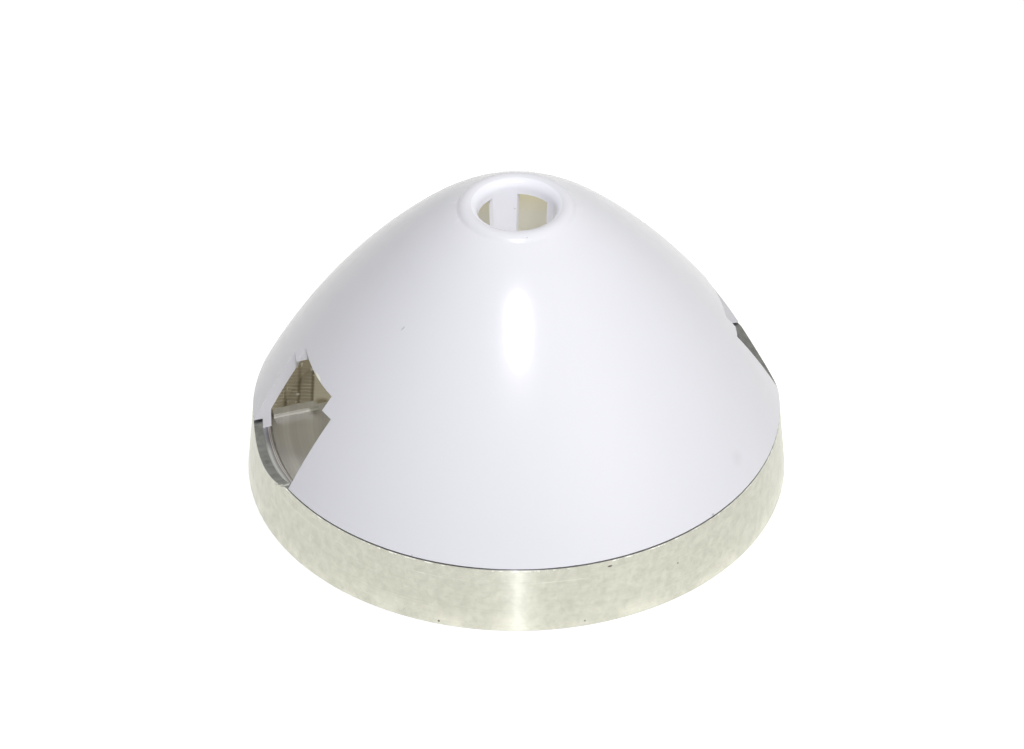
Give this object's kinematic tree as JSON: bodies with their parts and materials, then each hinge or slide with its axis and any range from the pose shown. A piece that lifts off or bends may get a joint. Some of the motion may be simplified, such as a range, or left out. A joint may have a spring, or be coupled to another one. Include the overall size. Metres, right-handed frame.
{
  "type": "propeller spinner",
  "caption": "White moulded spinner cone with a nose air inlet and stepped blade openings, seated in the rabbet of a turned aluminium back plate.",
  "frame": {"origin": "centre of the back plate's rear face", "axes": "+Z along the shaft, from the rear face to the nose; +X along the propeller blades"},
  "size_m": [0.1, 0.1, 0.059],
  "materials": {
    "white_moulding": "gloss",
    "aluminium": "turned, bare",
    "steel": "zinc plated"
  },
  "bodies": {
    "root": {"spinner_cone": "white_moulding", "back_plate": "aluminium", "retaining_screw": "steel", "screw_washer": "steel"}
  },
  "joints": []
}
